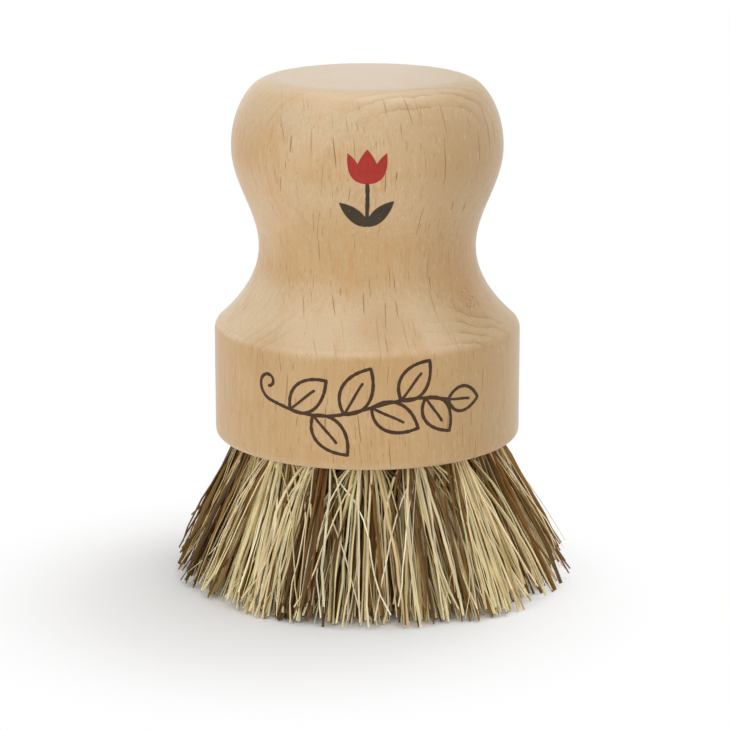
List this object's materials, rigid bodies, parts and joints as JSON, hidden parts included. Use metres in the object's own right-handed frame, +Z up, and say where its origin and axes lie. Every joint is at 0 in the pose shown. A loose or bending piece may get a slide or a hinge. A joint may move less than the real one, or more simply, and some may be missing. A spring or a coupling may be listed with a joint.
{
  "type": "dish brush",
  "caption": "Palm-sized dish brush: turned wooden knob handle with a straight collar, its underside set with splayed tufts of stiff mixed plant fibre.",
  "frame": {"origin": "on the handle's turning axis, in the plane of the trimmed fibre ends on which the brush stands", "axes": "+Z up along the handle's turning axis towards the crown; the brush is round, so X and Y are free, and the picture looks along +Y"},
  "size_m": [0.0775, 0.0763, 0.0984],
  "materials": {
    "beech": "oiled, satin",
    "mixed_fibre": "stiff plant fibre, pale and brown mixed",
    "staple_steel": "galvanised flat wire"
  },
  "bodies": {
    "root": {"handle": "beech", "tuft_inner_01": "mixed_fibre", "tuft_inner_02": "mixed_fibre", "tuft_inner_03": "mixed_fibre", "tuft_middle_01": "mixed_fibre", "tuft_middle_02": "mixed_fibre", "tuft_middle_03": "mixed_fibre", "tuft_middle_04": "mixed_fibre", "tuft_middle_05": "mixed_fibre", "tuft_middle_06": "mixed_fibre", "tuft_middle_07": "mixed_fibre", "tuft_middle_08": "mixed_fibre", "tuft_middle_09": "mixed_fibre", "tuft_middle_10": "mixed_fibre", "tuft_outer_01": "mixed_fibre", "tuft_outer_02": "mixed_fibre", "tuft_outer_03": "mixed_fibre", "tuft_outer_04": "mixed_fibre", "tuft_outer_05": "mixed_fibre", "tuft_outer_06": "mixed_fibre", "tuft_outer_07": "mixed_fibre", "tuft_outer_08": "mixed_fibre", "tuft_outer_09": "mixed_fibre", "tuft_outer_10": "mixed_fibre", "tuft_outer_11": "mixed_fibre", "tuft_outer_12": "mixed_fibre", "tuft_outer_13": "mixed_fibre", "tuft_outer_14": "mixed_fibre", "tuft_outer_15": "mixed_fibre", "tuft_outer_16": "mixed_fibre", "staple_inner_01": "staple_steel", "staple_inner_02": "staple_steel", "staple_inner_03": "staple_steel", "staple_middle_01": "staple_steel", "staple_middle_02": "staple_steel", "staple_middle_03": "staple_steel", "staple_middle_04": "staple_steel", "staple_middle_05": "staple_steel", "staple_middle_06": "staple_steel", "staple_middle_07": "staple_steel", "staple_middle_08": "staple_steel", "staple_middle_09": "staple_steel", "staple_middle_10": "staple_steel", "staple_outer_01": "staple_steel", "staple_outer_02": "staple_steel", "staple_outer_03": "staple_steel", "staple_outer_04": "staple_steel", "staple_outer_05": "staple_steel", "staple_outer_06": "staple_steel", "staple_outer_07": "staple_steel", "staple_outer_08": "staple_steel", "staple_outer_09": "staple_steel", "staple_outer_10": "staple_steel", "staple_outer_11": "staple_steel", "staple_outer_12": "staple_steel", "staple_outer_13": "staple_steel", "staple_outer_14": "staple_steel", "staple_outer_15": "staple_steel", "staple_outer_16": "staple_steel"}
  },
  "joints": []
}
